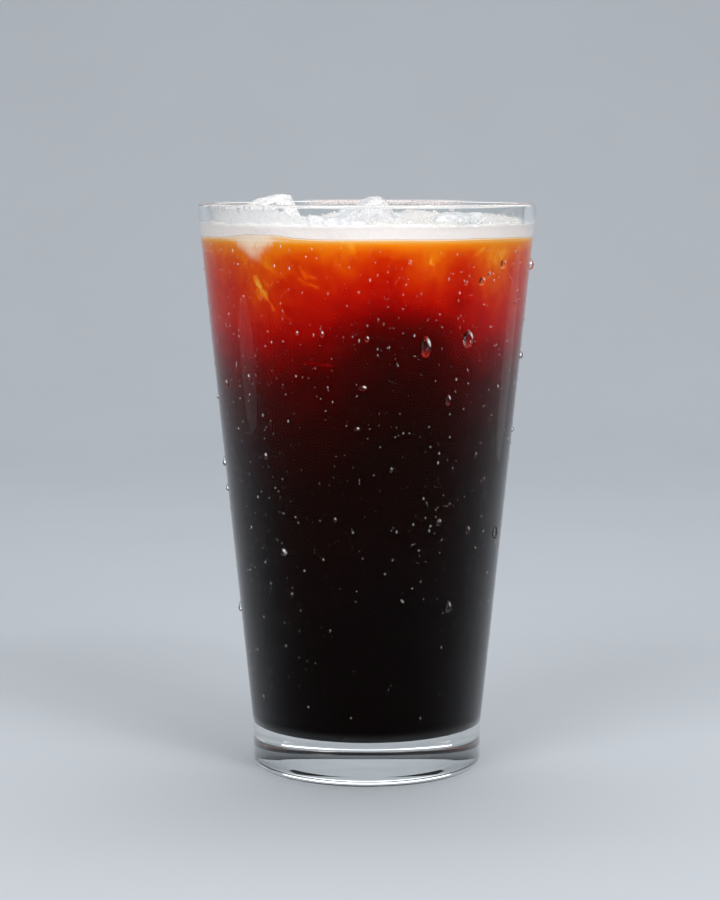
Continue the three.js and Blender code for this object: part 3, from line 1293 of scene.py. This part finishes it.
# The soft lamps: name, place, what they point at, width, height and power in watts.
GLASS_MIDDLE = (0.0, 0.0, 0.09)
SOFTBOXES = [
    ("front_left", (-0.5, -0.8, 0.75), GLASS_MIDDLE, 0.5, 0.5, 4.3),
    ("front_right", (0.55, -0.75, 0.75), GLASS_MIDDLE, 0.5, 0.5, 4.1),
    ("top", (0.1, 0.15, 1.0), GLASS_MIDDLE, 0.7, 0.7, 2.0),
    ("behind", (0.0, 0.8, 1.9), (0.0, 0.85, 0.0), 2.0, 0.8, 9),
    ("glint", (0.28, -0.45, 0.62), GLASS_MIDDLE, 0.05, 0.05, 0.4),
]

# Small lamps whose reflections lie as soft upright streaks down both sides of the glass: name, place,
# width and height. Each is built up from a few ellipses, so that it has no hard edge.
STRIPS = [
    ("left_strip", (-0.42, 0.05, 0.027), 0.1, 0.05),
    ("right_strip", (0.36, 0.27, 0.044), 0.11, 0.08),
]


class DRINK_OT_stage(bpy.types.Operator):
    """Sets up the pale floor, the soft lights and the camera at the photograph's angle"""

    bl_idname = "drink.stage"
    bl_label = "Stage"

    def execute(self, context):
        self.add_floor()
        self.add_lights()
        self.add_camera()
        return {"FINISHED"}

    @staticmethod
    def add_floor():
        half, near, far, bend, top, steps = 2.5, -2.5, 1.3, 0.6, 2.2, 16
        side_on = [(near, 0.0), (far - bend, 0.0)]
        side_on += [
            (far - bend + bend * math.sin(a), bend - bend * math.cos(a))
            for a in (QUARTER * step / steps for step in range(1, steps + 1))
        ]
        side_on.append((far, top))
        points = [(side * half, y, z) for y, z in side_on for side in (-1, 1)]
        faces = [(2 * i, 2 * i + 1, 2 * i + 3, 2 * i + 2) for i in range(len(side_on) - 1)]
        mesh = bpy.data.meshes.new("backdrop")
        mesh.from_pydata(points, [], faces)
        mesh.shade_smooth()
        mesh.materials.append(backdrop_material())
        sweep = placed("backdrop", mesh)
        sweep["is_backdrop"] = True

    @staticmethod
    def add_lights():
        for softbox in SOFTBOXES:
            add_softbox(*softbox)
        # This one shows only through clear glass.
        band = add_softbox("low_band", (0.0, 0.42, 0.035), (0.0, 0.0, 0.035), 0.5, 0.04, 0.1)
        band.visible_diffuse = False
        band.visible_glossy = False
        for name, place, wide, tall in STRIPS:
            for share in (0.3, 0.6, 0.9, 1.2):
                size = (share * wide, share * tall)
                strip = add_softbox(name, place, (0, 0, place[2]), *size, 0.006 * share ** 2, "ELLIPSE")
                strip.visible_diffuse = False
        world = bpy.data.worlds.new("studio")
        world.use_nodes = True
        background = world.node_tree.nodes["Background"]
        background.inputs["Color"].default_value = (0.93, 0.96, 1.0, 1.0)
        background.inputs["Strength"].default_value = 0.25
        bpy.context.scene.world = world
        bpy.context.scene.view_settings.view_transform = "Standard"

    @staticmethod
    def add_camera():
        data = bpy.data.cameras.new("camera")
        data.sensor_width = SENSOR
        data.lens = CAMERA_LENS
        camera = placed("camera", data)
        camera.location = (0.0, -CAMERA_BACK, CAMERA_HEIGHT)
        camera.rotation_mode = "QUATERNION"
        camera.rotation_quaternion = camera_axes()[0].to_track_quat("-Z", "Y")
        bpy.context.scene.camera = camera


# The panel and the order of work.

STEPS = (
    DRINK_OT_stage,
    DRINK_OT_glass,
    DRINK_OT_coffee,
    DRINK_OT_foam,
    DRINK_OT_bubbles,
    DRINK_OT_ice,
    DRINK_OT_frost,
    DRINK_OT_film,
    DRINK_OT_condensation,
)


class DRINK_PT_panel(bpy.types.Panel):
    """Lists the sizes, the colours and the operators"""

    bl_idname = "DRINK_PT_panel"
    bl_label = "Iced coffee"
    bl_space_type = "VIEW_3D"
    bl_region_type = "UI"
    bl_category = "Iced coffee"

    def draw(self, context):
        for group in (context.scene.drink_sizes, context.scene.drink_colours):
            box = self.layout.box()
            for name in group.__annotations__:
                box.prop(group, name)
        for step in STEPS:
            self.layout.operator(step.bl_idname)


CLASSES = (DrinkSizes, DrinkColours, *STEPS, DRINK_PT_panel)


def register():
    for each in CLASSES:
        bpy.utils.register_class(each)
    bpy.types.Scene.drink_sizes = bpy.props.PointerProperty(type=DrinkSizes)
    bpy.types.Scene.drink_colours = bpy.props.PointerProperty(type=DrinkColours)


def unregister():
    del bpy.types.Scene.drink_colours
    del bpy.types.Scene.drink_sizes
    for each in reversed(CLASSES):
        bpy.utils.unregister_class(each)


def main():
    register()
    for step in STEPS:
        group, name = step.bl_idname.split(".")
        getattr(getattr(bpy.ops, group), name)()
    boxes = {"cad": CAD_BOX, "visual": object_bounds()}
    {key: [list(corner) for corner in box] for key, box in boxes.items()}


if __name__ == "__main__":
    main()
